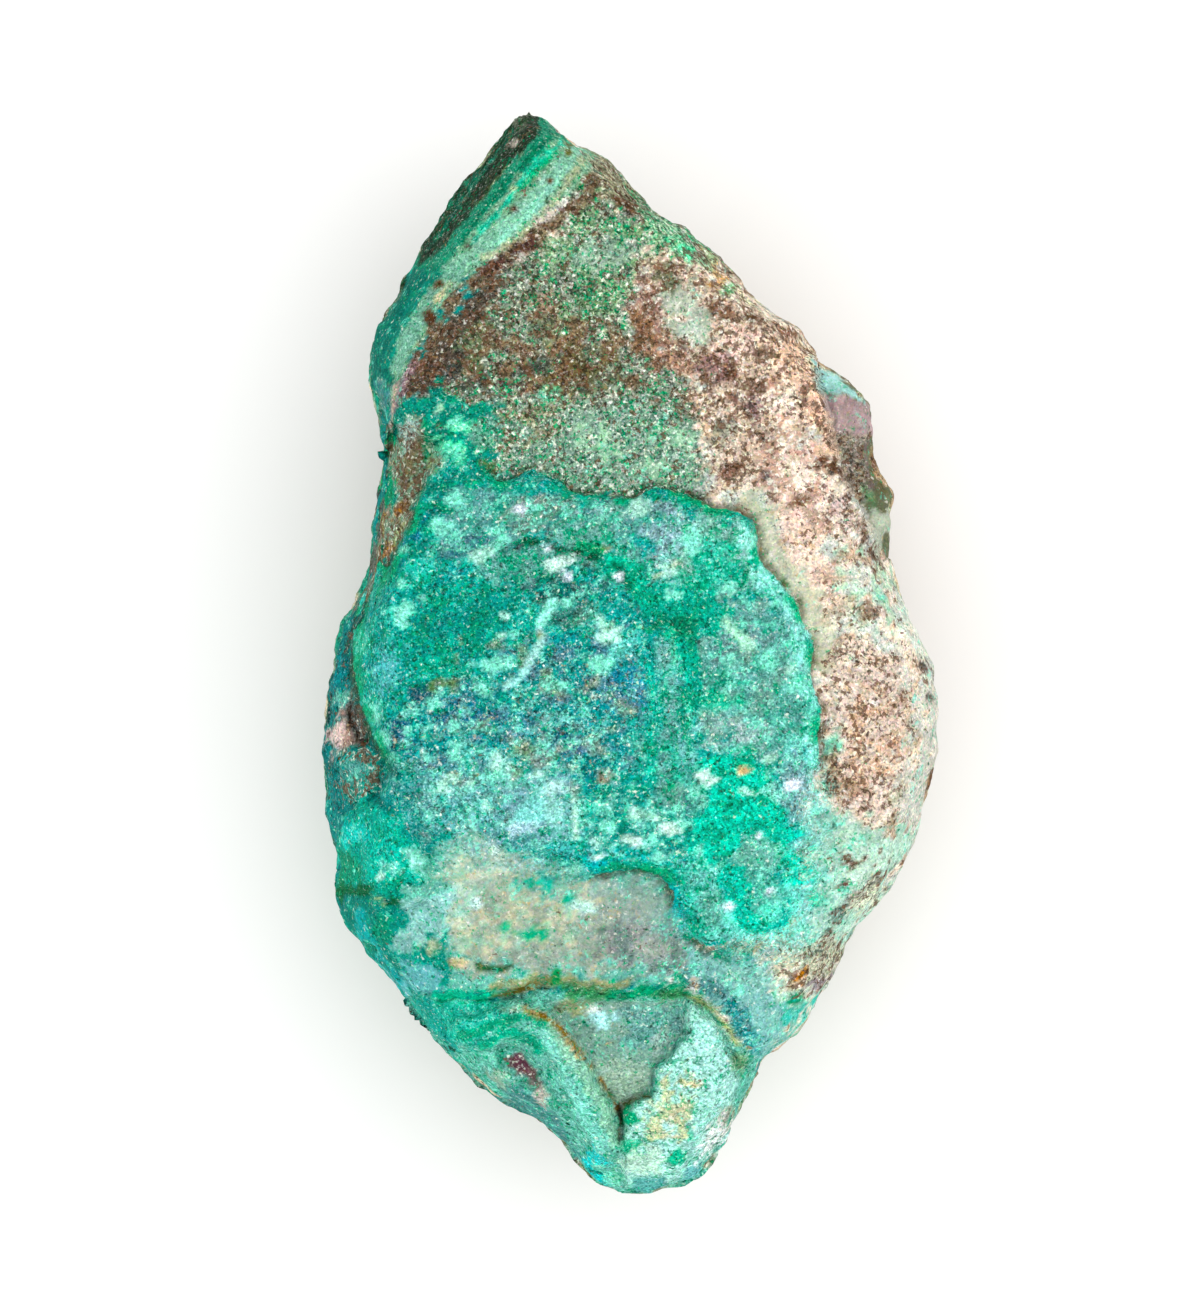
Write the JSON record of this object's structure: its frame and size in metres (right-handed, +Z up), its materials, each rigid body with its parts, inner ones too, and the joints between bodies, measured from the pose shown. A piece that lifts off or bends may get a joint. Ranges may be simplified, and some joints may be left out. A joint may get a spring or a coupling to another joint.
{
  "type": "raw amazonite",
  "caption": "Rough raw mineral specimen: an elongated fractured stone with a raised green crust over a tan granular matrix, lying on a flat fracture face.",
  "frame": {"origin": "on the resting face, under the middle of the stone's box", "axes": "+Z up, out of the crusted face; +Y along the stone to its narrow tip; +X to the tan right side"},
  "size_m": [0.0318, 0.056, 0.024],
  "materials": {
    "amazonite": "rough stone: green and teal fine-grained crust, tan and brown granular matrix, dull to waxy"
  },
  "bodies": {
    "root": {"amazonite_stone": "amazonite"}
  },
  "joints": []
}
